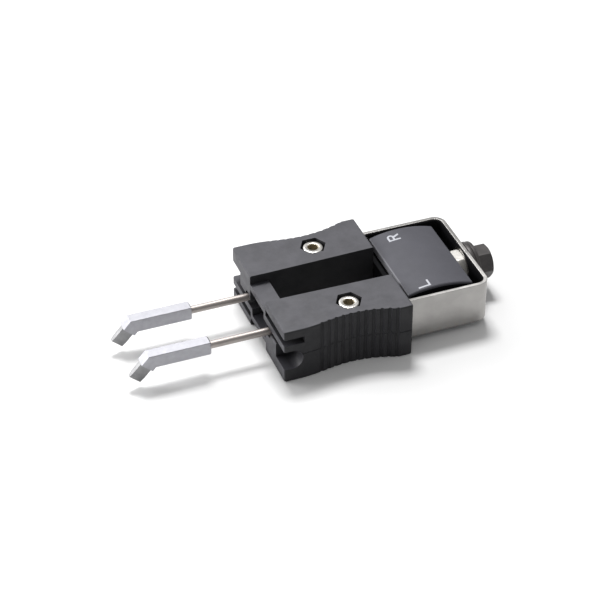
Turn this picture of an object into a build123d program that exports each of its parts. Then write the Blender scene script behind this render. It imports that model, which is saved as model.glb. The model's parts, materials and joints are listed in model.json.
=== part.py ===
"""Two-pole electrode holder: a hand-held clamp for a pair of bent electrode tips.

+X points from the tips to the rear bolt, +Y to the holder's right side, +Z up. The origin is on the
underside, below the middle of the whole assembly. All sizes are in millimetres.
"""

from build123d import *
from math import cos, pi, sin, tan, radians
import os

os.makedirs("parts", exist_ok=True)

SIDES = (("left", -1), ("right", 1))

# Body: two identical half shells, one turned half a turn about the X axis
body_front = -13.65
body_length = 34.1
body_height = 15.6
middle = body_height / 2
front_half_width = 19.15
waist_half_width = 17.65
rear_half_width = 20.0
front_land = 4.4
waist_x = body_front + 18.4
flare_end_x = body_front + 30.2
body_rear = body_front + body_length
edge_radius = 0.45
corner_radius = 0.6
parting_chamfer = 0.18

slot_front_x = body_front + 5.05
slot_front_half_width = 5.6
slot_rear_half_width = 6.2
bridge_bottom = 11.4
bridge_top = 13.1

tongue_bottom = 9.4
tongue_top = 11.3
tongue_inner_y = -4.3
lip_bottom = 13.2
lip_slot_depth = 5.4
inner_slot_depth = 1.6
pocket_floor = 3.9
pocket_inner_y = 13.1
pocket_depth_x = 2.25

rib_count = 11
groove_radius = 0.55
groove_offset = 0.1
first_groove = 0.225
last_groove = 0.99

# Electrode rods and what holds them
rod_y = 7.55
rod_radius = 1.0
rod_rear = body_front + 20.0
bore_radius = 1.2
bore_end = body_front + 28.8
mouth_radius = 1.7
mouth_depth = 1.4
running_gap = 0.05
slip_gap = 0.1
collet_front = body_front + 7.0
collet_length = 12.0
collet_radius = 1.45
collet_slit = 0.4
bus_bar_thickness = 0.5
bus_bar_height = 3.0

# Clamp screws (M3 x 12 socket cap) and their nuts
screw_x = body_front + 19.7
screw_y = 12.4
screw_radius = 1.5
screw_head_radius = 2.75
screw_head_height = 3.0
screw_length = 12.0
screw_sink = 0.45
socket_flats = 2.5
socket_depth = 1.6
screw_chamfer = 0.25
hex_pocket_flats = 6.1
nut_flats = 5.5
nut_height = 2.4
nut_chamfer = 0.2
pocket_depth = screw_head_height + screw_sink

# Bent tip blocks and their inserts
block_rear = body_front - 15.5
bend_x = body_front - 31.7
block_half_height = 1.85
block_width = 3.1
bend_angle = 48.0
leg_length = 2.9
leg_depth = 3.7
rod_seat_depth = 6.0
block_rear_chamfer = 0.3
block_edge_chamfer = 0.12
insert_width = 3.6
insert_thickness = 1.5
insert_reach = 4.6
insert_seat = 2.4
insert_bevel_length = 1.6
insert_bevel_depth = 0.25
set_screw_radius = 0.75
set_screw_flats = 0.8
set_screw_sink = 0.1
set_socket_depth = 0.5

# U bracket
wall = 1.0
bracket_bottom = 1.8
bracket_top = 13.6
bracket_half_width = 15.8
bracket_rear = body_front + 57.4
bracket_corner_radius = 3.2
leg_end = body_front + 24.2
leg_tongue_half_height = 5.4
peg_x = body_front + 28.0
peg_radius = 1.5
peg_flat = 2.0
liner_thickness = 0.2
liner_margin = 0.4
liner_gap = 0.03
liner_window_radius = 5.2
bracket_inner_half_width = bracket_half_width - wall
bracket_inner_rear = bracket_rear - wall

# Switch housing and rocker
housing_front = body_front + 34.2
housing_rear = body_front + 52.4
housing_half_width = bracket_inner_half_width - 0.26
housing_bottom = 1.9
housing_top = 9.1
housing_wall = 1.2
housing_corner_radius = 0.6
front_wall_top = 10.8
boss_top = 9.6
boss_half_width = 2.2
board_thickness = 1.0
board_gap = 0.2
board_top = housing_bottom + housing_wall + board_thickness
pin_z = 8.0
pin_radius = 1.0
cover_front = body_front + 35.65
cover_crown = body_front + 44.2
cover_rear = body_front + 53.5
cover_half_width = 13.2
cover_front_z = 13.3
cover_crown_z = 14.45
cover_rear_z = 12.75
cover_thickness = 0.7
cover_lip_height = 2.0
cover_edge_radius = 0.5
cover_seat_gap = 0.04
core_bottom = 10.4
core_half_width = 13.1
core_front = cover_front + cover_thickness + cover_seat_gap
core_rear = body_front + 52.5
apron_half_width = 8.4
apron_bottom = 7.0
apron_thickness = 1.2
rib_gap = 0.3
mark_depth = 0.15
mark_height = 3.3
mark_width = 2.5
mark_stroke = 0.5
mark_places = {"left": (body_front + 40.5, -11.2), "right": (body_front + 41.2, 9.8)}
rocker_x = (core_front + core_rear) / 2
contact_y = 10.5
contact_foot_radius = 1.7
contact_foot_height = 0.4
contact_button_radius = 1.0
contact_button_height = 0.7
contact_dome = 0.3
pusher_bottom = 6.2
pusher_length = 2.6
pusher_width = 2.2
spring_y = 6.0
spring_radius = 1.4
spring_wire_radius = 0.25
spring_turns = 6

# Rear bolt (M5, hexagon head with a collar), its washer and its nut
bolt_radius = 2.45
bolt_hole_radius = 2.75
bolt_end = body_front + 52.9
thread_bore_radius = 2.5
bolt_flats = 8.0
collar_radius = 6.1
collar_thickness = 1.1
washer_thickness = 1.1
bolt_head_length = 4.4
end_gap = 0.05
rear_nut_thickness = 2.4
rim_chamfer = 0.2
thread_end_chamfer = 0.3
crown_ratio = 0.93
crown_angle = 30.0


def save(part, name):
    """Label a finished piece and write it."""
    part.label = name
    export_step(part, f"parts/{name}.step")


# --- Half shells -----------------------------------------------------------------------------

with BuildLine() as grip_side:
    Spline(
        (body_front + front_land, front_half_width),
        (waist_x, waist_half_width),
        tangents=((1, 0), (1, 0)),
    )
    TangentArc((waist_x, waist_half_width), (flare_end_x, rear_half_width), tangent=(1, 0))
grip_path = Wire(grip_side.edges().sort_by(Axis.X))

with BuildSketch() as body_outline:
    with BuildLine():
        Line((body_front, 0), (body_front, front_half_width))
        Line((body_front, front_half_width), (body_front + front_land, front_half_width))
        add(grip_side.line)
        Line((flare_end_x, rear_half_width), (body_rear, rear_half_width))
        Line((body_rear, rear_half_width), (body_rear, 0))
        mirror(about=Plane.XZ)
    make_face()
    ends = body_outline.vertices().group_by(Axis.X)
    fillet([corner for corner in ends[0] + ends[-1] if abs(corner.Y) > waist_half_width], corner_radius)

with BuildPart() as upper_shell:
    add(body_outline.sketch.moved(Location((0, 0, middle))))
    extrude(amount=body_height - middle)
    fillet(upper_shell.edges().group_by(Axis.Z)[-1], edge_radius)
    chamfer(upper_shell.edges().group_by(Axis.Z)[0], parting_chamfer)

    # Central slot, open at the rear and through the full height
    with BuildSketch(Plane.XY.offset(middle)):
        with BuildLine():
            Polyline(
                (slot_front_x, slot_front_half_width),
                (body_rear + 1, slot_rear_half_width),
                (body_rear + 1, -slot_rear_half_width),
                (slot_front_x, -slot_front_half_width),
                close=True,
            )
        make_face()
    extrude(amount=body_height, mode=Mode.SUBTRACT)

    # The bridge across the front is lower than the top face, and the mouth is open below it
    mouth_x = (body_front - 1 + slot_front_x) / 2
    mouth_length = slot_front_x - body_front + 1
    with BuildSketch(Plane.XY.offset(bridge_top)):
        with Locations((mouth_x, 0)):
            Rectangle(mouth_length, 2 * slot_front_half_width)
    extrude(amount=body_height, mode=Mode.SUBTRACT)
    with BuildSketch(Plane.XY.offset(middle)):
        with Locations((mouth_x, 0)):
            Rectangle(mouth_length, 2 * slot_front_half_width)
    extrude(amount=tongue_bottom - middle, mode=Mode.SUBTRACT)
    with BuildSketch(Plane.YZ.offset(body_front - 1)):
        mouth_mid_z = (tongue_bottom + bridge_bottom) / 2
        mouth_mid_y = (tongue_inner_y + slot_front_half_width) / 2
        with Locations((mouth_mid_y, mouth_mid_z)):
            Rectangle(slot_front_half_width - tongue_inner_y, bridge_bottom - tongue_bottom)
    extrude(amount=mouth_length, mode=Mode.SUBTRACT)

    # Narrow slot between the lip and the tongue, on the left side
    outside = rear_half_width + 1
    with BuildSketch(Plane.YZ.offset(body_front - 1)):
        with Locations((-(outside + pocket_inner_y) / 2, (tongue_top + lip_bottom) / 2)):
            Rectangle(outside - pocket_inner_y, lip_bottom - tongue_top)
    extrude(amount=lip_slot_depth + 1, mode=Mode.SUBTRACT)
    with BuildSketch(Plane.YZ.offset(body_front - 1)):
        with Locations((-(outside + slot_front_half_width) / 2, (tongue_top + lip_bottom) / 2)):
            Rectangle(outside - slot_front_half_width, lip_bottom - tongue_top)
    extrude(amount=inner_slot_depth + 1, mode=Mode.SUBTRACT)

    # Round-ended pockets: below the tongue on the left side, below the thick lip on the right
    pocket_radius = (tongue_bottom - pocket_floor) / 2
    pocket_x = body_front + pocket_depth_x
    for pocket_z, y_from, y_to in (
        (pocket_floor + pocket_radius, -outside, -slot_front_half_width),
        (body_height - pocket_floor - pocket_radius, pocket_inner_y, outside),
    ):
        with BuildSketch(Plane.XZ.offset(-y_to)):
            with Locations((pocket_x, pocket_z)):
                Circle(pocket_radius)
            with Locations(((pocket_x + body_front - 1) / 2, pocket_z)):
                Rectangle(pocket_x - body_front + 1, 2 * pocket_radius)
        extrude(amount=y_to - y_from, mode=Mode.SUBTRACT)

    # Rod bores with a wider mouth, and the seats of the collets
    for _, side in SIDES:
        with BuildSketch(Plane.YZ.offset(body_front - 1)):
            with Locations((side * rod_y, middle)):
                Circle(bore_radius)
        extrude(amount=bore_end - body_front + 1, mode=Mode.SUBTRACT)
        with BuildSketch(Plane.YZ.offset(body_front - 1)):
            with Locations((side * rod_y, middle)):
                Circle(mouth_radius)
        extrude(amount=mouth_depth + 1, mode=Mode.SUBTRACT)
        with BuildSketch(Plane.YZ.offset(collet_front)):
            with Locations((side * rod_y, middle)):
                Circle(collet_radius)
        extrude(amount=collet_length, mode=Mode.SUBTRACT)

    # Channels for the bus bars
    channel_front = collet_front + 1
    for _, side in SIDES:
        with BuildSketch(Plane.YZ.offset(channel_front)):
            with Locations((side * (rod_y + collet_radius + bus_bar_thickness / 2), middle)):
                Rectangle(bus_bar_thickness + slip_gap, bus_bar_height + slip_gap)
        extrude(amount=body_rear - channel_front + 1, mode=Mode.SUBTRACT)

    # Hexagon pockets and screw holes
    with BuildSketch(Plane.XY.offset(body_height - pocket_depth)):
        with Locations((screw_x, screw_y), (screw_x, -screw_y)):
            RegularPolygon(hex_pocket_flats / 2, 6, major_radius=False)
    extrude(amount=pocket_depth + 1, mode=Mode.SUBTRACT)
    with BuildSketch(Plane.XY.offset(middle - 1)):
        with Locations((screw_x, screw_y), (screw_x, -screw_y)):
            Circle(screw_radius + slip_gap)
    extrude(amount=body_height, mode=Mode.SUBTRACT)

    # Pockets for the bracket's legs, each with half a retaining peg
    leg_y = bracket_half_width - wall / 2
    for _, side in SIDES:
        with BuildSketch(Plane.YZ.offset(leg_end - slip_gap)):
            with Locations((side * leg_y, middle)):
                Rectangle(wall + slip_gap, 2 * leg_tongue_half_height + slip_gap)
        extrude(amount=body_rear - leg_end + 1, mode=Mode.SUBTRACT)
        with BuildSketch(Plane.XZ.offset(-side * leg_y)):
            with Locations((peg_x, middle)):
                Circle(peg_radius)
            with Locations((peg_x, middle - peg_flat)):
                Rectangle(2 * peg_flat, 2 * peg_flat, mode=Mode.SUBTRACT)
        extrude(amount=wall / 2 + slip_gap, both=True)

    # Finger ribs: shallow upright grooves along both waisted sides
    groove_step = (last_groove - first_groove) / (rib_count - 1)
    groove_points = [grip_path @ (first_groove + groove_step * i) for i in range(rib_count)]
    with BuildSketch(Plane.XY.offset(middle - 1)):
        for point in groove_points:
            with Locations((point.X, point.Y + groove_offset), (point.X, -point.Y - groove_offset)):
                Circle(groove_radius)
    extrude(amount=body_height, mode=Mode.SUBTRACT)
save(upper_shell.part, "upper_shell")

with BuildPart() as lower_shell:
    add(upper_shell.part.rotate(Axis((0, 0, middle), (1, 0, 0)), 180))
save(lower_shell.part, "lower_shell")

# --- Clamp screws and nuts -------------------------------------------------------------------

for name, side in SIDES:
    head_bottom = body_height - pocket_depth
    with BuildPart() as clamp_screw:
        with BuildSketch(Plane.XY.offset(head_bottom)):
            with Locations((screw_x, side * screw_y)):
                Circle(screw_head_radius)
        extrude(amount=screw_head_height)
        chamfer(clamp_screw.edges().group_by(Axis.Z)[-1], screw_chamfer)
        with BuildSketch(Plane.XY.offset(head_bottom + screw_head_height)):
            with Locations((screw_x, side * screw_y)):
                RegularPolygon(socket_flats / 2, 6, major_radius=False)
        extrude(amount=-socket_depth, mode=Mode.SUBTRACT)
        with BuildSketch(Plane.XY.offset(head_bottom)):
            with Locations((screw_x, side * screw_y)):
                Circle(screw_radius)
        extrude(amount=-screw_length)
        chamfer(clamp_screw.edges().group_by(Axis.Z)[0], screw_chamfer)
    save(clamp_screw.part, f"{name}_clamp_screw")

    with BuildPart() as clamp_nut:
        with BuildSketch(Plane.XY.offset(pocket_depth - nut_height)):
            with Locations((screw_x, side * screw_y)):
                RegularPolygon(nut_flats / 2, 6, major_radius=False)
                Circle(screw_radius, mode=Mode.SUBTRACT)
        extrude(amount=nut_height)
        chamfer(clamp_nut.edges().filter_by(GeomType.CIRCLE), nut_chamfer)
    save(clamp_nut.part, f"{name}_clamp_nut")

# --- Electrodes: rod, bent block, insert and set screw, all sliding together ------------------

bend_top = Vector(bend_x, middle + block_half_height)
down_leg = Vector(-cos(radians(bend_angle)), -sin(radians(bend_angle)))
across_leg = Vector(sin(radians(bend_angle)), -cos(radians(bend_angle)))
leg_top = bend_top + down_leg * leg_length
leg_bottom = leg_top + across_leg * leg_depth
block_underside = middle - block_half_height
inner_bend = leg_bottom - down_leg * ((block_underside - leg_bottom.Y) / sin(radians(bend_angle)))
insert_top = leg_top + across_leg * (leg_depth - insert_width) / 2
insert_bottom = insert_top + across_leg * insert_width

for name, side in SIDES:
    electrode_plane = Plane.XZ.offset(-side * rod_y)

    with BuildPart() as electrode_rod:
        with BuildSketch(Plane.YZ.offset(block_rear - rod_seat_depth)):
            with Locations((side * rod_y, middle)):
                Circle(rod_radius)
        extrude(amount=rod_rear - block_rear + rod_seat_depth)
        chamfer(electrode_rod.edges().group_by(Axis.X)[-1], rim_chamfer)
    save(electrode_rod.part, f"{name}_electrode_rod")

    with BuildPart() as tip_block:
        with BuildSketch(electrode_plane):
            with BuildLine():
                Polyline(
                    (block_rear, block_underside),
                    (block_rear, middle + block_half_height),
                    (bend_top.X, bend_top.Y),
                    (leg_top.X, leg_top.Y),
                    (leg_bottom.X, leg_bottom.Y),
                    (inner_bend.X, inner_bend.Y),
                    close=True,
                )
            make_face()
        extrude(amount=block_width / 2, both=True)
        chamfer(tip_block.edges().group_by(Axis.X)[-1], block_rear_chamfer)
        chamfer(tip_block.edges().filter_by(Axis.X), block_edge_chamfer)
        with BuildSketch(Plane.YZ.offset(block_rear)):
            with Locations((side * rod_y, middle)):
                Circle(rod_radius)
        extrude(amount=-rod_seat_depth, mode=Mode.SUBTRACT)
        with BuildSketch(electrode_plane):
            with BuildLine():
                seat_top = insert_top - down_leg * insert_seat
                seat_bottom = insert_bottom - down_leg * insert_seat
                mouth_top = insert_top + down_leg
                mouth_bottom = insert_bottom + down_leg
                Polyline(
                    (seat_top.X, seat_top.Y),
                    (mouth_top.X, mouth_top.Y),
                    (mouth_bottom.X, mouth_bottom.Y),
                    (seat_bottom.X, seat_bottom.Y),
                    close=True,
                )
            make_face()
        extrude(amount=insert_thickness / 2, both=True, mode=Mode.SUBTRACT)
        with BuildSketch(Plane.XY.offset(block_underside - 1)):
            with Locations((block_rear - rod_seat_depth / 2, side * rod_y)):
                Circle(set_screw_radius)
        extrude(amount=middle - block_underside + 1, mode=Mode.SUBTRACT)
    save(tip_block.part, f"{name}_tip_block")

    with BuildPart() as tip_insert:
        with BuildSketch(electrode_plane):
            with BuildLine():
                end_top = insert_top + down_leg * insert_reach
                end_bottom = insert_bottom + down_leg * insert_reach
                Polyline(
                    (seat_top.X, seat_top.Y),
                    (end_top.X, end_top.Y),
                    (end_bottom.X, end_bottom.Y),
                    (seat_bottom.X, seat_bottom.Y),
                    close=True,
                )
            make_face()
        extrude(amount=insert_thickness / 2, both=True)
        end_face = tip_insert.faces().sort_by(Axis((0, 0, 0), (down_leg.X, 0, down_leg.Y)))[-1]
        chamfer(
            end_face.edges().filter_by(Axis.Y, reverse=True),
            insert_bevel_depth,
            length2=insert_bevel_length,
            reference=end_face,
        )
    save(tip_insert.part, f"{name}_tip_insert")

    with BuildPart() as set_screw:
        with BuildSketch(Plane.XY.offset(block_underside + set_screw_sink)):
            with Locations((block_rear - rod_seat_depth / 2, side * rod_y)):
                Circle(set_screw_radius)
        extrude(amount=middle - rod_radius - block_underside - set_screw_sink)
        with BuildSketch(Plane.XY.offset(block_underside + set_screw_sink)):
            with Locations((block_rear - rod_seat_depth / 2, side * rod_y)):
                RegularPolygon(set_screw_flats / 2, 6, major_radius=False)
        extrude(amount=set_socket_depth, mode=Mode.SUBTRACT)
    save(set_screw.part, f"{name}_set_screw")

# --- Collets and bus bars ---------------------------------------------------------------------

for name, side in SIDES:
    with BuildPart() as collet:
        with BuildSketch(Plane.YZ.offset(collet_front)):
            with Locations((side * rod_y, middle)):
                Circle(collet_radius)
                Circle(rod_radius + running_gap, mode=Mode.SUBTRACT)
            with Locations((side * rod_y, middle + (rod_radius + collet_radius) / 2)):
                Rectangle(collet_slit, rod_radius, mode=Mode.SUBTRACT)
        extrude(amount=collet_length)
    save(collet.part, f"{name}_collet")

    bus_bar_y = rod_y + collet_radius + bus_bar_thickness / 2
    with BuildPart() as bus_bar:
        with BuildSketch(Plane.XZ.offset(-side * bus_bar_y)):
            with BuildLine():
                Polyline(
                    (channel_front, middle - bus_bar_height / 2),
                    (channel_front, middle + bus_bar_height / 2),
                    (housing_front + 4, middle + bus_bar_height / 2),
                    (housing_front + 4, board_top),
                    (housing_front + 2, board_top),
                    (housing_front + 2, middle - bus_bar_height / 2),
                    close=True,
                )
            make_face()
        extrude(amount=bus_bar_thickness / 2, both=True)
    save(bus_bar.part, f"{name}_bus_bar")

# --- U bracket --------------------------------------------------------------------------------

with BuildPart() as bracket:
    with BuildSketch(Plane.XY.offset(bracket_bottom)) as bracket_plan:
        with BuildLine() as bracket_line:
            FilletPolyline(
                (leg_end + wall / 2, -leg_y),
                (bracket_rear - wall / 2, -leg_y),
                (bracket_rear - wall / 2, leg_y),
                (leg_end + wall / 2, leg_y),
                radius=bracket_corner_radius - wall / 2,
            )
            offset(amount=wall / 2, kind=Kind.ARC)
        make_face()
    extrude(amount=bracket_top - bracket_bottom)
    # Only a narrower tongue of each leg enters the body
    for z_from, z_to in (
        (bracket_bottom - 1, middle - leg_tongue_half_height),
        (middle + leg_tongue_half_height, bracket_top + 1),
    ):
        with BuildSketch(Plane.XY.offset(z_from)):
            with Locations(((leg_end + body_rear) / 2 - 1, 0)):
                Rectangle(body_rear - leg_end + 2, 4 * bracket_half_width)
        extrude(amount=z_to - z_from, mode=Mode.SUBTRACT)
    with BuildSketch(Plane.XZ.offset(-bracket_half_width - 1)):
        with Locations((peg_x, middle)):
            Circle(peg_radius)
    extrude(amount=2 * bracket_half_width + 2, mode=Mode.SUBTRACT)
    with BuildSketch(Plane.YZ.offset(bracket_rear - 2 * wall)):
        with Locations((0, middle)):
            Circle(bolt_hole_radius)
    extrude(amount=4 * wall, mode=Mode.SUBTRACT)
save(bracket.part, "bracket")

# Insulating film inside the bracket, clear of the housing and the rear nut
with BuildPart() as bracket_liner:
    film_inset = liner_gap + liner_thickness / 2
    film_y = bracket_inner_half_width - film_inset
    film_rear = bracket_inner_rear - film_inset
    with BuildSketch(Plane.XY.offset(bracket_bottom + liner_margin)):
        with BuildLine():
            FilletPolyline(
                (body_rear + liner_margin, -film_y),
                (film_rear, -film_y),
                (film_rear, film_y),
                (body_rear + liner_margin, film_y),
                radius=bracket_corner_radius - wall - film_inset,
            )
            offset(amount=liner_thickness / 2, kind=Kind.ARC)
        make_face()
    extrude(amount=bracket_top - bracket_bottom - 2 * liner_margin)
    with BuildSketch(Plane.XY.offset(bracket_bottom)):
        with Locations(((body_rear + housing_rear + slip_gap) / 2, 0)):
            Rectangle(housing_rear + slip_gap - body_rear, 2 * bracket_half_width)
    extrude(amount=housing_top + slip_gap - bracket_bottom, mode=Mode.SUBTRACT)
    with BuildSketch(Plane.YZ.offset(bracket_inner_rear - wall)):
        with Locations((0, middle)):
            Circle(liner_window_radius)
    extrude(amount=2 * wall, mode=Mode.SUBTRACT)
    # Its floor closes the gap below the nut
    with BuildSketch(Plane.XY.offset(bracket_bottom + liner_margin)):
        with BuildLine():
            rear_end = FilletPolyline(
                (housing_rear + slip_gap, -film_y),
                (film_rear, -film_y),
                (film_rear, film_y),
                (housing_rear + slip_gap, film_y),
                radius=bracket_corner_radius - wall - film_inset,
            )
            Line(rear_end @ 1, rear_end @ 0)
        make_face()
    extrude(amount=liner_thickness)
save(bracket_liner.part, "bracket_liner")

# --- Switch housing, contact board and contacts -----------------------------------------------

with BuildPart() as switch_housing:
    housing_x = (housing_front + housing_rear) / 2
    housing_length = housing_rear - housing_front
    with BuildSketch(Plane.XY.offset(housing_bottom)):
        with Locations((housing_x, 0)):
            Rectangle(housing_length, 2 * housing_half_width)
    extrude(amount=housing_top - housing_bottom)
    fillet(switch_housing.edges().filter_by(Axis.Z), housing_corner_radius)
    with BuildSketch(Plane.XY.offset(housing_bottom + housing_wall)):
        with Locations((housing_x, 0)):
            Rectangle(housing_length - 2 * housing_wall, 2 * (housing_half_width - housing_wall))
    extrude(amount=housing_top, mode=Mode.SUBTRACT)
    # The front wall stands higher, up to the rocker cover's turned-down edge
    with BuildSketch(Plane.YZ.offset(housing_front)):
        with Locations((0, (front_wall_top + housing_bottom) / 2)):
            Rectangle(2 * (housing_half_width - housing_corner_radius), front_wall_top - housing_bottom)
    extrude(amount=housing_wall)
    # Raised bosses carry the rocker's pin in both end walls
    for wall_x in (housing_front, housing_rear - housing_wall):
        with BuildSketch(Plane.YZ.offset(wall_x)):
            with Locations((0, (boss_top + housing_bottom) / 2)):
                Rectangle(2 * boss_half_width, boss_top - housing_bottom)
        extrude(amount=housing_wall)
    with BuildSketch(Plane.YZ.offset(housing_front - 1)):
        with Locations((0, pin_z)):
            Circle(pin_radius)
    extrude(amount=housing_length + 2, mode=Mode.SUBTRACT)
    # Windows let the bus bars in
    for _, side in SIDES:
        with BuildSketch(Plane.YZ.offset(housing_front - 1)):
            with Locations((side * bus_bar_y, middle)):
                Rectangle(bus_bar_thickness + 2 * slip_gap, bus_bar_height + 2 * slip_gap)
        extrude(amount=housing_wall + 1.5, mode=Mode.SUBTRACT)
save(switch_housing.part, "switch_housing")

with BuildPart() as contact_board:
    with BuildSketch(Plane.XY.offset(board_top - board_thickness)):
        with Locations((housing_x, 0)):
            Rectangle(
                housing_length - 2 * (housing_wall + board_gap),
                2 * (housing_half_width - housing_wall - board_gap),
            )
    extrude(amount=board_thickness)
save(contact_board.part, "contact_board")

for name, side in SIDES:
    with BuildPart() as fixed_contact:
        with BuildSketch(Plane.XY.offset(board_top)):
            with Locations((rocker_x, side * contact_y)):
                Circle(contact_foot_radius)
        extrude(amount=contact_foot_height)
        with BuildSketch(Plane.XY.offset(board_top + contact_foot_height)):
            with Locations((rocker_x, side * contact_y)):
                Circle(contact_button_radius)
        extrude(amount=contact_button_height)
        fillet(fixed_contact.edges().group_by(Axis.Z)[-1], contact_dome)
    save(fixed_contact.part, f"{name}_fixed_contact")

    with BuildPart() as return_spring:
        spring_height = core_bottom - board_top - 2 * (spring_wire_radius + running_gap)
        spring_foot = board_top + spring_wire_radius + running_gap
        with BuildLine() as coil:
            Helix(
                spring_height / spring_turns,
                spring_height,
                spring_radius,
                center=(rocker_x, side * spring_y, spring_foot),
            )
        with BuildSketch(Plane(origin=coil.line @ 0, z_dir=coil.line % 0)):
            Circle(spring_wire_radius)
        sweep()
    save(return_spring.part, f"{name}_return_spring")

# --- Rocker: core, pin, cover and side marks --------------------------------------------------


def cover_profile(drop):
    """Three points of the cover's crowned upper line, lowered by drop."""
    return (
        (cover_front, cover_front_z - drop),
        (cover_crown, cover_crown_z - drop),
        (cover_rear, cover_rear_z - drop),
    )


with BuildPart() as rocker_core:
    with BuildSketch(Plane.XZ):
        with BuildLine():
            crown = ThreePointArc(*cover_profile(cover_thickness + cover_seat_gap))
            Line(crown @ 1, (cover_rear, core_bottom))
            Line((cover_rear, core_bottom), (cover_front, core_bottom))
            Line((cover_front, core_bottom), crown @ 0)
        make_face()
    extrude(amount=core_half_width, both=True)
    # The core ends a little inside the cover's front and rear edges
    for x_from, x_to in ((cover_front - 1, core_front), (core_rear, cover_rear + 1)):
        with BuildSketch(Plane.XY.offset(core_bottom - 1)):
            with Locations(((x_from + x_to) / 2, 0)):
                Rectangle(x_to - x_from, 3 * core_half_width)
        extrude(amount=body_height, mode=Mode.SUBTRACT)
    # A rib between the end walls turns on the pin
    rib_front = housing_front + housing_wall + rib_gap
    rib_rear = housing_rear - housing_wall - rib_gap
    with BuildSketch(Plane.XY.offset(pin_z - pin_radius - 1)):
        with Locations(((rib_front + rib_rear) / 2, 0)):
            Rectangle(rib_rear - rib_front, 2 * boss_half_width)
    extrude(amount=core_bottom - pin_z + pin_radius + 1)
    # An apron behind the housing's front wall closes the view into the contacts
    with BuildSketch(Plane.XY.offset(apron_bottom)):
        with Locations((rib_front + apron_thickness / 2, 0)):
            Rectangle(apron_thickness, 2 * apron_half_width)
    extrude(amount=core_bottom - apron_bottom + rib_gap)
    with BuildSketch(Plane.YZ.offset(housing_front)):
        with Locations((0, pin_z)):
            Circle(pin_radius + running_gap)
    extrude(amount=housing_length, mode=Mode.SUBTRACT)
    # Pushers stand over the fixed contacts
    with BuildSketch(Plane.XY.offset(pusher_bottom)):
        with Locations((rocker_x, contact_y), (rocker_x, -contact_y)):
            RectangleRounded(pusher_length, pusher_width, contact_dome)
    extrude(amount=core_bottom - pusher_bottom + rib_gap)
save(rocker_core.part, "rocker_core")

with BuildPart() as rocker_pin:
    with BuildSketch(Plane.YZ.offset(housing_front)):
        with Locations((0, pin_z)):
            Circle(pin_radius)
    extrude(amount=housing_length)
    chamfer(rocker_pin.edges().filter_by(GeomType.CIRCLE), rim_chamfer)
save(rocker_pin.part, "rocker_pin")

with BuildPart() as cover_blank:
    with BuildSketch(Plane.XZ):
        with BuildLine():
            outer = ThreePointArc(*cover_profile(0))
            inner = ThreePointArc(*cover_profile(cover_thickness))
            Line(outer @ 0, inner @ 0)
            Line(outer @ 1, inner @ 1)
        make_face()
        # The front edge is turned down
        with Locations((cover_front + cover_thickness / 2, cover_front_z - cover_lip_height / 2)):
            Rectangle(cover_thickness, cover_lip_height)
    extrude(amount=cover_half_width, both=True)
    uprights = cover_blank.edges().filter_by(Axis.Z).group_by(Axis.X)
    fillet(uprights[0] + uprights[-1], cover_edge_radius)
    fillet(cover_blank.edges().filter_by(Axis.Y).group_by(Axis.X)[0].sort_by(Axis.Z)[-1], cover_edge_radius)


def mark_outline(name):
    """A plain stroke letter, top towards the tips, as a sketch above the cover."""
    x, y = mark_places[name]
    top = mark_height / 2
    edge = mark_width / 2
    letter_plane = Plane(origin=(x, y, body_height), x_dir=(0, 1, 0), z_dir=(0, 0, 1))
    with BuildSketch(letter_plane) as letter:
        with Locations((-edge + mark_stroke / 2, 0)):
            Rectangle(mark_stroke, mark_height)
        if name == "left":
            with Locations((0, -top + mark_stroke / 2)):
                Rectangle(mark_width, mark_stroke)
        else:
            bowl = mark_height * 0.28
            bowl_x = edge - bowl
            with Locations((bowl_x, top - bowl)):
                Circle(bowl)
            with Locations(((bowl_x - edge) / 2, top - bowl)):
                Rectangle(bowl_x + edge, 2 * bowl)
            with Locations((bowl_x, top - bowl)):
                Circle(bowl - mark_stroke, mode=Mode.SUBTRACT)
            with Locations(((bowl_x - edge + mark_stroke) / 2, top - bowl)):
                Rectangle(
                    bowl_x + edge - mark_stroke, 2 * (bowl - mark_stroke), mode=Mode.SUBTRACT
                )
            with BuildLine():
                Polyline(
                    (bowl_x - mark_stroke, top - 2 * bowl + mark_stroke / 2),
                    (bowl_x + 0.2, top - 2 * bowl + mark_stroke / 2),
                    (edge, -top),
                    (edge - mark_stroke * 1.2, -top),
                    close=True,
                )
            make_face()
    return letter.sketch


with BuildPart() as mark_layer:
    with BuildSketch(Plane.XZ):
        with BuildLine():
            mark_top = ThreePointArc(*cover_profile(-0.01))
            mark_floor = ThreePointArc(*cover_profile(mark_depth))
            Line(mark_top @ 0, mark_floor @ 0)
            Line(mark_top @ 1, mark_floor @ 1)
        make_face()
    extrude(amount=cover_half_width, both=True)

marks = {}
for name, _ in SIDES:
    with BuildPart() as mark:
        add(mark_outline(name))
        extrude(amount=-body_height / 2)
        add(mark_layer.part, mode=Mode.INTERSECT)
    save(mark.part, f"{name}_mark")
    marks[name] = mark.part

with BuildPart() as rocker_cover:
    add(cover_blank.part)
    for name, _ in SIDES:
        add(marks[name], mode=Mode.SUBTRACT)
save(rocker_cover.part, "rocker_cover")

# --- Rear bolt, washer and nut ----------------------------------------------------------------

with BuildPart() as bolt_washer:
    with BuildSketch(Plane.YZ.offset(bracket_rear)):
        with Locations((0, middle)):
            Circle(collar_radius + slip_gap)
            Circle(bolt_hole_radius, mode=Mode.SUBTRACT)
    extrude(amount=washer_thickness)
    chamfer(bolt_washer.edges().group_by(Axis.X)[-1].sort_by(SortBy.LENGTH)[-1], rim_chamfer)
save(bolt_washer.part, "bolt_washer")

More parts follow.
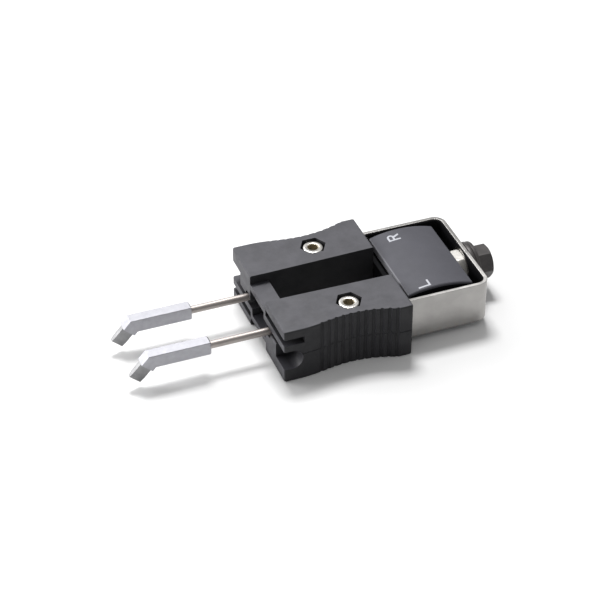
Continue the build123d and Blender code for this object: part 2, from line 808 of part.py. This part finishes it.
collar_front = bracket_rear + washer_thickness + end_gap
head_front = collar_front + collar_thickness
head_rear = head_front + bolt_head_length
with BuildPart() as rear_bolt:
    with BuildSketch(Plane.YZ.offset(collar_front)):
        with Locations((0, middle)):
            Circle(collar_radius)
    extrude(amount=collar_thickness)
    chamfer(rear_bolt.edges().group_by(Axis.X)[-1], rim_chamfer)
    with BuildSketch(Plane.YZ.offset(head_front)):
        with Locations((0, middle)):
            RegularPolygon(bolt_flats / 2, 6, major_radius=False, rotation=30)
    extrude(amount=bolt_head_length)
    # The head's rear corners are turned off at 30 degrees
    cut_radius = bolt_flats / 2 / cos(pi / 6) + 1
    crown_radius = bolt_flats / 2 * crown_ratio
    crown_height = (cut_radius - crown_radius) * tan(radians(crown_angle))
    with BuildSketch(Plane.XZ) as crown_section:
        with BuildLine():
            Polyline(
                (head_rear + 1, middle + crown_radius),
                (head_rear, middle + crown_radius),
                (head_rear - crown_height, middle + cut_radius),
                (head_rear + 1, middle + cut_radius),
                close=True,
            )
        make_face()
    revolve(axis=Axis((0, 0, middle), (1, 0, 0)), mode=Mode.SUBTRACT)
    with BuildSketch(Plane.YZ.offset(collar_front)):
        with Locations((0, middle)):
            Circle(bolt_radius)
    extrude(amount=bolt_end - collar_front)
    chamfer(rear_bolt.edges().group_by(Axis.X)[0], thread_end_chamfer)
save(rear_bolt.part, "rear_bolt")

with BuildPart() as rear_nut:
    nut_front = bracket_inner_rear - end_gap - rear_nut_thickness
    with BuildSketch(Plane.YZ.offset(nut_front)):
        with Locations((0, middle)):
            RegularPolygon(bolt_flats / 2, 6, major_radius=False)
            Circle(thread_bore_radius, mode=Mode.SUBTRACT)
    extrude(amount=rear_nut_thickness)
    chamfer(rear_nut.edges().filter_by(GeomType.CIRCLE), nut_chamfer)
save(rear_nut.part, "rear_nut")
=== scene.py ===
import json
from math import ceil, cos, pi, radians, sin, tau

import bpy
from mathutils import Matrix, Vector

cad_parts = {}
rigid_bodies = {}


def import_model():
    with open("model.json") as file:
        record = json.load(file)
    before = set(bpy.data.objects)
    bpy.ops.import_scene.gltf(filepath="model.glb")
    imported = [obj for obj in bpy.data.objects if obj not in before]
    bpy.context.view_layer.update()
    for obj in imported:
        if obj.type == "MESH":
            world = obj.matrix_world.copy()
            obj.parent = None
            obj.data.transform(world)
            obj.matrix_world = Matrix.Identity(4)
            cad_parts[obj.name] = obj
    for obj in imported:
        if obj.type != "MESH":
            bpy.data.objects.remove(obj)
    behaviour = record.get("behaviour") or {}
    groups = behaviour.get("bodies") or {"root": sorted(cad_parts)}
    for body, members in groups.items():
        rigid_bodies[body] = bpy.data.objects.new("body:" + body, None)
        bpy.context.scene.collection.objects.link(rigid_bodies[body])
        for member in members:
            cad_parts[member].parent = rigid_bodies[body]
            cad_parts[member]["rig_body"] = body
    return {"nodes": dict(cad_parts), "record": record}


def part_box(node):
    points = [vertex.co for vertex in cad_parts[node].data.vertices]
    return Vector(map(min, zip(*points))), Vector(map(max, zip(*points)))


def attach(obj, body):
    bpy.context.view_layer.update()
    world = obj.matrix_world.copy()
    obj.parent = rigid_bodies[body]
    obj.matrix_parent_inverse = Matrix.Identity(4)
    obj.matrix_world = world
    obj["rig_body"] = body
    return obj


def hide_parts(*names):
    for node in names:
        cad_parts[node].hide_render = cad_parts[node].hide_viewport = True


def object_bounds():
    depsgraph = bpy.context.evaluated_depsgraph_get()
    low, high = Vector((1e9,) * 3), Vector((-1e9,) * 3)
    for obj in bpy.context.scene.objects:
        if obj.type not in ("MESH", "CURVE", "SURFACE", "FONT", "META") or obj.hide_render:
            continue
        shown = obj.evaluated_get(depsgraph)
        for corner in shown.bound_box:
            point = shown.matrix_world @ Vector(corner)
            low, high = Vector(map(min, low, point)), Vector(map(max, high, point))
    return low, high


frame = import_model()
cad_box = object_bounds()
nodes = frame["nodes"]
MM = 0.001

# Noise stretched along the rods, and along the bracket's level brushing
ALONG_X = (60, 1, 1)
LEVEL = (60, 60, 1)

# Fasteners, in millimetres
M3_RADIUS = 1.5
M3_PITCH = 0.5
M3_THREAD_DEPTH = 0.27
M3_NUT_FLATS = 5.5
SOCKET_FLATS = 2.5
SCREW_HEAD_RADIUS = 2.75
SCREW_HEAD_HEIGHT = 3.0
SCREW_THREAD_LENGTH = 5.4

M5_RADIUS = 2.5
M5_SHANK_RADIUS = 2.45
M5_PITCH = 0.8
M5_THREAD_DEPTH = 0.42
M5_FLATS = 8.0
BOLT_HEAD_HEIGHT = 4.4
COLLAR_RADIUS = 6.1
COLLAR_THICKNESS = 1.1

# A hexagon turned this far has a flat, not a corner, in its first direction
FLAT_FIRST = pi / 6


def middle(node):
    low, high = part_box(node)
    return (low + high) / 2


def corner_radius(flats):
    return flats / 2 / cos(pi / 6)


# --- Node material helpers -------------------------------------------------------------------


class Material:
    """A procedural material on the row frame's own coordinates."""

    def __init__(self, name, color, rough, metal=0.0, **sockets):
        self.data = bpy.data.materials.new(name)
        self.data.use_nodes = True
        self.tree = self.data.node_tree
        self.bsdf = self.tree.nodes["Principled BSDF"]
        self.bsdf.inputs["Base Color"].default_value = (*color, 1)
        self.bsdf.inputs["Roughness"].default_value = rough
        self.bsdf.inputs["Metallic"].default_value = metal
        for socket, value in sockets.items():
            self.bsdf.inputs[socket.replace("_", " ")].default_value = value
        self.place = self.tree.nodes.new("ShaderNodeTexCoord").outputs["Object"]
        self.normal = None
        self.tone = None

    def node(self, kind, **inputs):
        made = self.tree.nodes.new(kind)
        for name, value in inputs.items():
            socket = made.inputs[name.replace("_", " ")]
            if isinstance(value, bpy.types.NodeSocket):
                self.tree.links.new(value, socket)
            else:
                socket.default_value = value
        return made

    def math(self, operation, *values):
        made = self.tree.nodes.new("ShaderNodeMath")
        made.operation = operation
        for value, socket in zip(values, made.inputs):
            self.tree.links.new(value, socket)
        return made.outputs[0]

    def noise(self, size_mm, stretch=(1, 1, 1), detail=3.0, rough=0.5, offset=0.0):
        """Noise whose features are about size_mm across, longer where stretch is above 1."""
        scale = tuple(1 / (size_mm * MM * s) for s in stretch)
        mapping = self.node("ShaderNodeMapping", Vector=self.place, Scale=scale)
        mapping.inputs["Location"].default_value = (offset, offset, offset)
        made = self.node("ShaderNodeTexNoise", Vector=mapping.outputs["Vector"], Scale=1.0)
        made.inputs["Detail"].default_value = detail
        made.inputs["Roughness"].default_value = rough
        return made.outputs["Fac"]

    def ramp(self, factor, low, high, start=0.0, end=1.0):
        """factor from start to end becomes low to high."""
        made = self.node("ShaderNodeMapRange", Value=factor)
        made.inputs["From Min"].default_value = start
        made.inputs["From Max"].default_value = end
        made.inputs["To Min"].default_value = low
        made.inputs["To Max"].default_value = high
        return made.outputs["Result"]

    def mix(self, factor, first, second):
        made = self.tree.nodes.new("ShaderNodeMix")
        made.data_type = "RGBA"
        self.tree.links.new(factor, made.inputs["Factor"])
        for value, socket in ((first, made.inputs[6]), (second, made.inputs[7])):
            if isinstance(value, bpy.types.NodeSocket):
                self.tree.links.new(value, socket)
            else:
                socket.default_value = (*value, 1)
        return made.outputs[2]

    def color(self, value):
        self.tone = value
        self.tree.links.new(value, self.bsdf.inputs["Base Color"])

    def roughness(self, value):
        self.tree.links.new(value, self.bsdf.inputs["Roughness"])

    def specular(self, value):
        self.tree.links.new(value, self.bsdf.inputs["Specular IOR Level"])

    def facing(self, axis):
        """The node's own surface normal along X, Y or Z."""
        normal = self.tree.nodes.new("ShaderNodeTexCoord").outputs["Normal"]
        return self.node("ShaderNodeSeparateXYZ", Vector=normal).outputs[axis]

    def sideways(self, start, end):
        """1 on the faces that look along the row's Y axis, 0 on the others."""
        return self.ramp(self.math("ABSOLUTE", self.facing("Y")), 0, 1, start, end)

    def recessed(self, reach_mm, start, end):
        """1 deep in a slot or pocket, 0 on open faces; used as a mask for painted shade."""
        open_sky = self.tree.nodes.new("ShaderNodeAmbientOcclusion")
        open_sky.samples = 8
        open_sky.inputs["Distance"].default_value = reach_mm * MM
        return self.ramp(open_sky.outputs["AO"], 1, 0, start, end)

    def near_axis(self, x_mm, y_mm, radius_mm, fade_mm):
        """1 within radius_mm of the upright axes at x_mm and +-y_mm, 0 outside."""
        flat = self.node("ShaderNodeSeparateXYZ", Vector=self.place)
        off_centre = self.math("ABSOLUTE", flat.outputs["Y"])
        point = self.node("ShaderNodeCombineXYZ", X=flat.outputs["X"], Y=off_centre)
        reach = self.tree.nodes.new("ShaderNodeVectorMath")
        reach.operation = "DISTANCE"
        self.tree.links.new(point.outputs["Vector"], reach.inputs[0])
        reach.inputs[1].default_value = (x_mm * MM, y_mm * MM, 0)
        radius = radius_mm * MM
        return self.ramp(reach.outputs["Value"], 1, 0, radius, radius + fade_mm * MM)

    def bump(self, height, depth_mm, strength=1.0):
        made = self.node("ShaderNodeBump", Height=height, Strength=strength, Distance=depth_mm * MM)
        if self.normal is not None:
            self.tree.links.new(self.normal, made.inputs["Normal"])
        self.normal = made.outputs["Normal"]
        self.tree.links.new(self.normal, self.bsdf.inputs["Normal"])


def moulded(name, dark, light, rough, grain_mm, grain_depth_mm, **sockets):
    """Moulded plastic: cloudy tone, spark-eroded grain, uneven gloss."""
    m = Material(name, dark, rough, **sockets)
    cloud = m.noise(7.0, detail=4.0, rough=0.6)
    m.color(m.mix(m.ramp(cloud, 0, 1, 0.32, 0.68), dark, light))
    m.roughness(m.ramp(m.noise(2.4, offset=5.0), rough - 0.07, rough + 0.07, 0.3, 0.7))
    m.bump(m.noise(grain_mm, detail=2.0, rough=0.6), grain_depth_mm, 0.8)
    return m


def brushed(name, color, rough, stretch, line_mm=0.08, depth_mm=0.003, anisotropic=0.4, tint=0.88):
    """Ground or brushed metal with fine lines along the stretched directions."""
    m = Material(name, color, rough, metal=1.0, Anisotropic=anisotropic)
    lines = m.noise(line_mm, stretch, detail=3.0, rough=0.6)
    stain = m.noise(5.0, detail=3.0, rough=0.55, offset=3.0)
    dull = tuple(c * tint for c in color)
    m.color(m.mix(m.ramp(stain, 0, 1, 0.35, 0.65), color, dull))
    m.roughness(m.ramp(lines, rough - 0.06, rough + 0.1, 0.3, 0.7))
    m.bump(lines, depth_mm, 0.7)
    return m


def coated(name, color, light, rough, metal, grain_mm, depth_mm):
    """Blackened, plated or blasted metal with a fine even grain."""
    m = Material(name, color, rough, metal=metal)
    m.color(m.mix(m.ramp(m.noise(2.0, detail=4.0, rough=0.6), 0, 1, 0.3, 0.7), color, light))
    m.roughness(m.ramp(m.noise(1.2, offset=7.0), rough - 0.06, rough + 0.08, 0.3, 0.7))
    m.bump(m.noise(grain_mm, detail=2.0), depth_mm, 0.7)
    return m


def ribbed_shell():
    """Grained black moulding; the ribbed sides and the slots are painted darker as shade, and are duller
    than the faces.
    """
    m = Material("shell_plastic", (0.06, 0.06, 0.066), 0.55)
    cloud = m.ramp(m.noise(5.5, detail=5.0, rough=0.68), 0, 1, 0.34, 0.66)
    face = m.mix(cloud, (0.036, 0.0355, 0.043), (0.058, 0.057, 0.068))
    # shaded_rib: a darker copy of the face colour, painted shade for the sides and recesses
    shaded_rib = m.mix(cloud, (0.018, 0.018, 0.020), (0.028, 0.028, 0.030))
    # side: painted shade mask, 1 on faces that look along Y and deep in slots and pockets
    side = m.math("MAXIMUM", m.sideways(0.35, 0.75), m.recessed(6.0, 0.3, 0.75))
    m.color(m.mix(side, face, shaded_rib))
    m.specular(m.ramp(side, 0.5, 0.18))
    m.roughness(m.ramp(m.noise(2.4, offset=5.0), 0.46, 0.6, 0.3, 0.7))
    m.bump(m.noise(0.28, detail=2.0, rough=0.6), 0.02, 0.8)
    return m


def rocker_cover():
    """Satin grey cover whose turned-down front edge is painted lighter as a highlight."""
    m = moulded(
        "cover_satin", (0.078, 0.078, 0.090), (0.088, 0.088, 0.102), 0.5, 0.12, 0.003,
        Specular_IOR_Level=0.16,
    )
    # painted highlight: faces turned towards -X are painted lighter, as if lit from the left
    painted_highlight = m.ramp(m.facing("X"), 1, 0, -0.85, -0.4)
    m.color(m.mix(painted_highlight, m.tone, (0.26, 0.26, 0.28)))
    return m


def socket_screw():
    """Bright zinc, with painted olive shade in the hexagon socket."""
    m = Material("screw_steel", (0.8, 0.78, 0.73), 0.26, metal=1.0)
    zinc = m.mix(m.ramp(m.noise(2.0, detail=4.0), 0, 1, 0.3, 0.7), (0.62, 0.60, 0.57), (0.72, 0.70, 0.67))
    screw_x, screw_y = (middle("right_clamp_screw").xy / MM).to_tuple()
    # painted shade: a darker olive tone inside the hexagon socket
    socket_shade = m.near_axis(screw_x, screw_y, SOCKET_FLATS / 2 + 0.22, 0.1)
    m.color(m.mix(socket_shade, zinc, (0.36, 0.32, 0.24)))
    m.roughness(m.ramp(socket_shade, 0.26, 0.6))
    m.bump(m.noise(0.2, detail=2.0), 0.002, 0.7)
    return m


finishes = {
    "shell_plastic": ribbed_shell(),
    # switch_plastic: black plastic, made near-black and barely glossy as painted shade for the slot
    # interior
    "switch_plastic": moulded(
        "switch_plastic", (0.006, 0.006, 0.007), (0.010, 0.010, 0.011), 0.65, 0.2, 0.008,
        Specular_IOR_Level=0.04,
    ),
    "cover_satin": rocker_cover(),
    "mark_white": moulded("mark_white", (0.42, 0.43, 0.47), (0.48, 0.49, 0.53), 0.5, 0.2, 0.004),
    "stainless": brushed("stainless", (0.41, 0.40, 0.388), 0.36, LEVEL),
    "rod_nickel": brushed(
        "rod_nickel", (0.43, 0.395, 0.375), 0.5, ALONG_X, depth_mm=0.002, anisotropic=0.3
    ),
    "block_aluminium": coated(
        "block_aluminium", (0.335, 0.335, 0.36), (0.385, 0.385, 0.41), 0.45, 1.0, 0.22, 0.008
    ),
    "insert_alloy": coated(
        "insert_alloy", (0.22, 0.22, 0.225), (0.30, 0.30, 0.305), 0.38, 1.0, 0.15, 0.004
    ),
    "screw_steel": socket_screw(),
    "nut_steel": coated("nut_steel", (0.74, 0.72, 0.68), (0.84, 0.82, 0.78), 0.34, 0.45, 0.25, 0.004),
    "bolt_black": coated("bolt_black", (0.050, 0.046, 0.046), (0.074, 0.068, 0.067), 0.42, 0.4, 0.2, 0.005),
    "grub_steel": coated("grub_steel", (0.06, 0.06, 0.06), (0.10, 0.10, 0.10), 0.35, 1.0, 0.15, 0.003),
    "brass": brushed("brass", (0.72, 0.52, 0.22), 0.28, ALONG_X),
    "spring_steel": brushed("spring_steel", (0.55, 0.54, 0.52), 0.25, ALONG_X),
    "board": moulded("board", (0.28, 0.20, 0.09), (0.34, 0.25, 0.12), 0.5, 0.25, 0.006),
}

slot_of = {row["node"]: row["material_slot"] for row in frame["record"]["subparts"]}
for name, obj in nodes.items():
    for slot in obj.material_slots:
        slot.material = finishes[slot_of[name]].data

# --- Worked edges on the CAD nodes -----------------------------------------------------------

EDGE_WIDTHS_MM = {
    "upper_shell": 0.12, "lower_shell": 0.12, "bracket": 0.15, "switch_housing": 0.12,
    "rocker_core": 0.12, "contact_board": 0.08,
    "left_tip_block": 0.06, "right_tip_block": 0.06, "left_tip_insert": 0.07, "right_tip_insert": 0.07,
}
SAME_POINT = 1e-6
COPLANAR = radians(0.4)
SHARP = radians(32)


def soften(name, width_mm):
    """Break a CAD node's sharp edges with a fine rounding; its own mesh stays as it is."""
    obj = nodes[name]
    weld = obj.modifiers.new("weld", "WELD")
    weld.merge_threshold = SAME_POINT
    flat = obj.modifiers.new("flat", "DECIMATE")
    flat.decimate_type = "DISSOLVE"
    flat.angle_limit = COPLANAR
    edge = obj.modifiers.new("edge", "BEVEL")
    edge.width = width_mm * MM
    edge.segments = 2
    edge.limit_method = "ANGLE"
    edge.angle_limit = SHARP
    edge.use_clamp_overlap = True
    smooth = obj.modifiers.new("smooth", "WEIGHTED_NORMAL")
    smooth.weight = 60
    smooth.keep_sharp = False


for name, width in EDGE_WIDTHS_MM.items():
    soften(name, width)

# --- Turned pieces: ring by ring along an axis ------------------------------------------------


def hexagon(flats, turn=0.0, limit=None):
    """Radius of a hexagon by angle, its corners turned off at limit."""

    def radius(angle):
        r = flats / 2 / cos((angle - turn) % (pi / 3) - pi / 6)
        return r if limit is None else min(r, limit)

    return radius


def turned(name, rings, origin, axis, up, count=120, closed=False):
    """Rings are (distance along the axis, radius or radius by angle), in millimetres."""
    axis, up = Vector(axis).normalized(), Vector(up).normalized()
    side = axis.cross(up)
    origin = Vector(origin)
    verts, loops, faces = [], [], []
    for along, radius in rings:
        start = len(verts)
        if radius == 0:
            verts.append(origin + axis * along * MM)
            loops.append([start])
            continue
        for k in range(count):
            angle = tau * k / count
            r = (radius(angle) if callable(radius) else radius) * MM
            verts.append(origin + axis * along * MM + (up * cos(angle) + side * sin(angle)) * r)
        loops.append(list(range(start, start + count)))
    pairs = list(zip(loops, loops[1:] + loops[:1])) if closed else list(zip(loops, loops[1:]))
    for one, two in pairs:
        for k in range(count):
            j = (k + 1) % count
            if len(one) == 1:
                faces.append((one[0], two[j], two[k]))
            elif len(two) == 1:
                faces.append((one[k], one[j], two[0]))
            else:
                faces.append((one[k], one[j], two[j], two[k]))
    mesh = bpy.data.meshes.new(name)
    mesh.from_pydata(verts, [], faces)
    mesh.validate()
    mesh.update()
    mesh.shade_smooth()
    mesh.set_sharp_from_angle(angle=radians(28))
    obj = bpy.data.objects.new(name, mesh)
    bpy.context.scene.collection.objects.link(obj)
    return obj


def thread(start, end, major, pitch, depth, steps=8):
    """Rings of a right-hand thread from start to end, running out at both ends."""
    rings = []
    total = ceil(abs(end - start) / pitch * steps)
    for i in range(total + 1):
        along = start + (end - start) * i / total
        fade = min(1.0, min(i, total - i) / steps)

        def radius(angle, along=along, fade=fade):
            phase = (along / pitch - angle / tau) % 1
            tooth = min(1.0, max(0.0, abs(phase - 0.5) * 2.6 - 0.25))
            return major - depth * tooth * fade

        rings.append((along, radius))
    return rings


def stand_in(obj, node, slot):
    """obj is shown in place of the node, on the node's own body."""
    obj.data.materials.append(finishes[slot].data)
    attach(obj, nodes[node]["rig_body"])
    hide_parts(node)


# --- Clamp screws and nuts --------------------------------------------------------------------


def knurled(radius, depth, teeth=30):
    return lambda angle: radius - depth * (0.5 - 0.5 * cos(teeth * angle)) ** 1.5


def nut_rings(height, flats, bore):
    """A nut's rings: chamfered both ends, bore with countersinks, back to the start."""
    corner = corner_radius(flats)
    rings = []
    for share, limit in ((0.0, 0.925), (0.03, 0.95), (0.07, 0.972), (0.12, 0.988), (0.18, 1.0)):
        rings.append((share * height, hexagon(flats, FLAT_FIRST, corner * limit - 0.04)))
    body = rings + [(height - along, radius) for along, radius in reversed(rings)]
    inner = [(height, bore + 0.28), (height - 0.25, bore), (0.25, bore), (0.0, bore + 0.28)]
    return body + inner


def clamp_screw(side):
    """Socket cap screw, from the bottom of its socket over the knurled head to its point."""
    node = f"{side}_clamp_screw"
    low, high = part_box(node)
    centre = middle(node)
    length = (high.z - low.z) / MM
    under = -SCREW_HEAD_HEIGHT
    socket = hexagon(SOCKET_FLATS, FLAT_FIRST)
    rings = [
        (-1.95, 0), (-1.6, lambda a: socket(a) - 0.02), (-1.55, socket), (-0.16, socket),
        (-0.04, lambda a: max(socket(a), 1.42)), (0.0, 1.5), (0.0, 2.38), (-0.05, 2.52), (-0.16, 2.64),
        (-0.32, knurled(SCREW_HEAD_RADIUS - 0.03, 0.02)), (-0.42, knurled(SCREW_HEAD_RADIUS, 0.1)),
        (under + 0.4, knurled(SCREW_HEAD_RADIUS, 0.1)),
        (under + 0.28, knurled(SCREW_HEAD_RADIUS - 0.03, 0.02)), (under + 0.1, 2.62), (under, 2.5),
        (under, 1.62), (under - 0.12, M3_RADIUS),
        (SCREW_THREAD_LENGTH + 0.2 - length, M3_RADIUS),
    ]
    rings += thread(SCREW_THREAD_LENGTH - length, 0.3 - length, M3_RADIUS, M3_PITCH, M3_THREAD_DEPTH)
    rings += [(0.28 - length, 1.42), (-length, 1.15), (-length, 0)]
    screw = turned(f"{side}_socket_screw", rings, (centre.x, centre.y, high.z), (0, 0, 1), (1, 0, 0))
    stand_in(screw, node, "screw_steel")


def clamp_nut(side):
    node = f"{side}_clamp_nut"
    low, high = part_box(node)
    centre = middle(node)
    rings = nut_rings((high.z - low.z) / MM, M3_NUT_FLATS, M3_RADIUS)
    place = (centre.x, centre.y, low.z)
    nut = turned(f"{side}_hex_nut", rings, place, (0, 0, 1), (1, 0, 0), count=72, closed=True)
    stand_in(nut, node, "nut_steel")


for side in ("left", "right"):
    clamp_screw(side)
    clamp_nut(side)

# --- Rear bolt, washer and nut ----------------------------------------------------------------


def length_along_x(node):
    low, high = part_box(node)
    return (high.x - low.x) / MM


def lying(name, rings, node, slot, **options):
    """A piece turned along +X from the node's front end, shown in place of the node."""
    low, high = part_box(node)
    centre = (low + high) / 2
    obj = turned(name, rings, (low.x, centre.y, centre.z), (1, 0, 0), (0, 0, 1), **options)
    stand_in(obj, node, slot)


def rear_bolt():
    """Threaded shank, round collar, and a hexagon head whose corners are turned off at its end."""
    length = length_along_x("rear_bolt")
    head = length - BOLT_HEAD_HEIGHT
    collar = head - COLLAR_THICKNESS
    corner = corner_radius(M5_FLATS)
    crown = M5_FLATS / 2 * 0.93
    rings = [(0.0, 0), (0.0, 1.95), (0.3, 2.2)]
    rings += thread(0.32, collar - 0.1, M5_SHANK_RADIUS, M5_PITCH, M5_THREAD_DEPTH)
    rings += [
        (collar - 0.05, M5_SHANK_RADIUS), (collar, 2.6), (collar, 5.85), (collar + 0.08, 6.0),
        (collar + 0.25, COLLAR_RADIUS), (head - 0.3, COLLAR_RADIUS), (head - 0.12, 6.03),
        (head - 0.03, 5.9), (head, 5.7),
        (head, hexagon(M5_FLATS + 0.3, FLAT_FIRST, corner + 0.05)),
        (head + 0.12, hexagon(M5_FLATS, FLAT_FIRST, corner - 0.05)),
    ]
    steps = 7
    for i in range(steps + 1):
        share = i / steps
        limit = corner - 0.05 + (crown - corner) * share ** 1.3
        rings.append((length - 0.48 * (1 - share), hexagon(M5_FLATS, FLAT_FIRST, limit)))
    rings += [(length, crown - 0.12), (length - 0.06, crown - 0.35), (length - 0.06, 0)]
    lying("hex_bolt", rings, "rear_bolt", "bolt_black", count=144)


def bolt_washer():
    low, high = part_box("bolt_washer")
    thick = length_along_x("bolt_washer")
    outer = (high.z - low.z) / MM / 2
    rings = [
        (0.0, 2.75), (0.0, outer - 0.15), (0.06, outer - 0.04), (0.15, outer), (thick - 0.18, outer),
        (thick - 0.06, outer - 0.05), (thick, outer - 0.2), (thick, 2.95), (thick - 0.12, 2.75),
    ]
    lying("flat_washer", rings, "bolt_washer", "bolt_black", closed=True)


def rear_nut():
    rings = nut_rings(length_along_x("rear_nut"), M5_FLATS, M5_RADIUS)
    lying("thin_hex_nut", rings, "rear_nut", "nut_steel", count=96, closed=True)


rear_bolt()
bolt_washer()
rear_nut()

# --- Floor, light and camera ------------------------------------------------------------------

FLOOR_REACH = 3.0
FLOOR_GAP = 0.00002
AZIMUTH = radians(-20.9)
ELEVATION = radians(37.58)
DISTANCE = 0.54906
TARGET = Vector((0.00197, 0.0110, 0.0))

scene = bpy.context.scene
scene.view_settings.view_transform = "Standard"

floor_mesh = bpy.data.meshes.new("floor")
floor_corners = [(x * FLOOR_REACH, y * FLOOR_REACH, 0) for x, y in ((-1, -1), (1, -1), (1, 1), (-1, 1))]
floor_mesh.from_pydata(floor_corners, [], [(0, 1, 2, 3)])
floor = bpy.data.objects.new("floor", floor_mesh)
floor.location.z = cad_box[0].z - FLOOR_GAP
scene.collection.objects.link(floor)
paper = Material("paper", (0.86, 0.86, 0.86), 0.9)
paper.color(paper.mix(paper.noise(40.0), (0.86, 0.86, 0.86), (0.88, 0.88, 0.88)))
floor.data.materials.append(paper.data)

world = bpy.data.worlds.new("studio")
scene.world = world
world.use_nodes = True
world.node_tree.nodes["Background"].inputs["Color"].default_value = (1.0, 1.0, 1.0, 1)
world.node_tree.nodes["Background"].inputs["Strength"].default_value = 0.42


def softbox(name, place, size, power):
    """A rectangular lamp at place, aimed at the origin."""
    light = bpy.data.lights.new(name, "AREA")
    light.shape = "RECTANGLE"
    light.size, light.size_y = size
    light.energy = power
    obj = bpy.data.objects.new(name, light)
    obj.location = place
    obj.rotation_euler = (-Vector(place)).to_track_quat("-Z", "Y").to_euler()
    scene.collection.objects.link(obj)


softbox("overhead", (0.05, 0.24, 0.55), (0.19, 0.15), 2.9)
softbox("left", (-0.52, 0.40, 0.28), (0.40, 0.30), 3.0)
softbox("behind", (-0.10, 0.50, 0.48), (0.50, 0.34), 0.8)

camera = bpy.data.objects.new("camera", bpy.data.cameras.new("camera"))
camera.data.lens = 126.0
camera.data.sensor_width = 36.0
camera.data.clip_start, camera.data.clip_end = 0.02, 20.0
back = Vector((sin(AZIMUTH) * cos(ELEVATION), -cos(AZIMUTH) * cos(ELEVATION), sin(ELEVATION)))
camera.location = TARGET + back * DISTANCE
camera.rotation_euler = back.to_track_quat("Z", "Y").to_euler()
scene.collection.objects.link(camera)
scene.camera = camera
